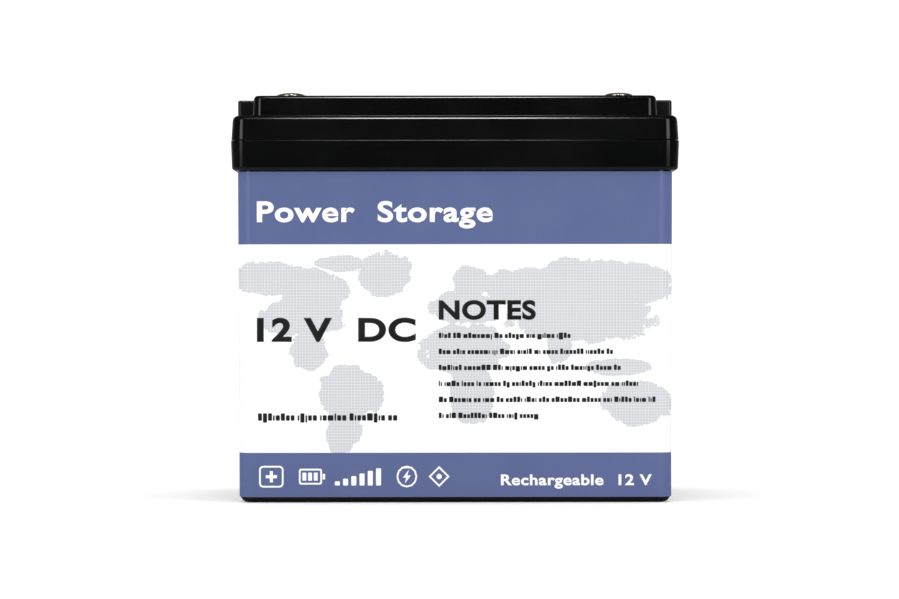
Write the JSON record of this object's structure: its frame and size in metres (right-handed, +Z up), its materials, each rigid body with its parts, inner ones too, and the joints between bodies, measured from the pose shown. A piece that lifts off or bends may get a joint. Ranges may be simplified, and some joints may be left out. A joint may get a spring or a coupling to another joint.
{
  "type": "deep cycle battery",
  "caption": "Boxed deep cycle battery with a black lidded case, a wrap-round front label, two screw terminals and two fold-flat carry handles.",
  "frame": {"origin": "middle of the case's underside, on the surface that the battery stands on", "axes": "+X to the right seen from the label side, +Y to the back, +Z up"},
  "size_m": [0.229, 0.138, 0.21],
  "materials": {
    "shell": "glossy black moulded plastic",
    "handle": "satin black moulded plastic",
    "label": "printed vinyl sheet, white and blue",
    "brass": "machined brass",
    "screw_finish": "yellow passivated screw finish",
    "ring_red": "red moulded plastic",
    "ring_black": "black moulded plastic",
    "seal": "black sealant",
    "cell_wrap": "blue insulating film over an aluminium can",
    "fibre_board": "glass fibre sheet",
    "strap": "white glass fibre tape",
    "foam": "dark closed-cell foam",
    "steel": "zinc plated steel",
    "tinned_copper": "tinned copper",
    "circuit_board": "green solder mask",
    "chip": "black moulded packages",
    "heat_sink": "extruded aluminium",
    "plug": "natural nylon",
    "cable_red": "red silicone rubber",
    "cable_black": "black silicone rubber"
  },
  "bodies": {
    "case": {"case_shell": "shell", "lid": "shell", "lid_seal": "seal", "front_label": "label", "terminal_insert_positive": "brass", "terminal_insert_negative": "brass", "polarity_ring_positive": "ring_red", "polarity_ring_negative": "ring_black", "terminal_lug_positive": "tinned_copper", "terminal_lug_negative": "tinned_copper", "stack_lug_negative": "tinned_copper", "stack_lug_positive": "tinned_copper", "busbar_1": "tinned_copper", "busbar_2": "tinned_copper", "busbar_3": "tinned_copper", "lug_screw_positive": "steel", "lug_screw_negative": "steel", "stud_nut_left_1": "steel", "stud_nut_left_2": "steel", "stud_nut_left_3": "steel", "stud_nut_left_4": "steel", "stud_nut_right_1": "steel", "stud_nut_right_2": "steel", "stud_nut_right_3": "steel", "stud_nut_right_4": "steel", "cell_1": "cell_wrap", "cell_2": "cell_wrap", "cell_3": "cell_wrap", "cell_4": "cell_wrap", "cell_spacer_1": "fibre_board", "cell_spacer_2": "fibre_board", "cell_spacer_3": "fibre_board", "end_board_front": "fibre_board", "end_board_back": "fibre_board", "bay_divider": "fibre_board", "cover_sheet": "fibre_board", "stack_band_lower": "strap", "stack_band_upper": "strap", "base_pad": "foam", "bay_foam": "foam", "protection_board": "circuit_board", "transistor_bank": "chip", "heat_sink": "heat_sink", "balance_plug": "plug", "positive_cable": "cable_red", "stack_cable": "cable_black", "output_cable": "cable_black", "sense_wire_1": "cable_black", "sense_wire_2": "cable_black", "sense_wire_3": "cable_black", "sense_wire_4": "cable_black", "sense_wire_5": "cable_black"},
    "handle_right": {"handle_right": "handle"},
    "handle_left": {"handle_left": "handle"},
    "washer_positive": {"terminal_washer_positive": "screw_finish"},
    "screw_positive": {"terminal_screw_positive": "screw_finish"},
    "washer_negative": {"terminal_washer_negative": "screw_finish"},
    "screw_negative": {"terminal_screw_negative": "screw_finish"}
  },
  "joints": [
    {"name": "handle_right_fold", "type": "hinge", "parent": "case", "child": "handle_right", "pos_m": [0.0705, 0, 0.2028], "axis": [0, -1, 0], "range_deg": [0, 90]},
    {"name": "handle_left_fold", "type": "hinge", "parent": "case", "child": "handle_left", "pos_m": [-0.0705, 0, 0.2028], "axis": [0, 1, 0], "range_deg": [0, 90]},
    {"name": "washer_positive_lift", "type": "slide", "parent": "case", "child": "washer_positive", "axis": [0, 0, 1], "range_m": [0, 0.01]},
    {"name": "screw_positive_turn", "type": "hinge", "parent": "washer_positive", "child": "screw_positive", "pos_m": [-0.0843, -0.0496, 0.2076], "axis": [0, 0, 1], "range_deg": [0, 3600]},
    {"name": "washer_negative_lift", "type": "slide", "parent": "case", "child": "washer_negative", "axis": [0, 0, 1], "range_m": [0, 0.01]},
    {"name": "screw_negative_turn", "type": "hinge", "parent": "washer_negative", "child": "screw_negative", "pos_m": [0.0843, -0.0496, 0.2076], "axis": [0, 0, 1], "range_deg": [0, 3600]}
  ],
  "couplings": [
    {"joint": "washer_positive_lift", "follows": "screw_positive_turn", "m_per_rad": 0.000159},
    {"joint": "washer_negative_lift", "follows": "screw_negative_turn", "m_per_rad": 0.000159}
  ]
}
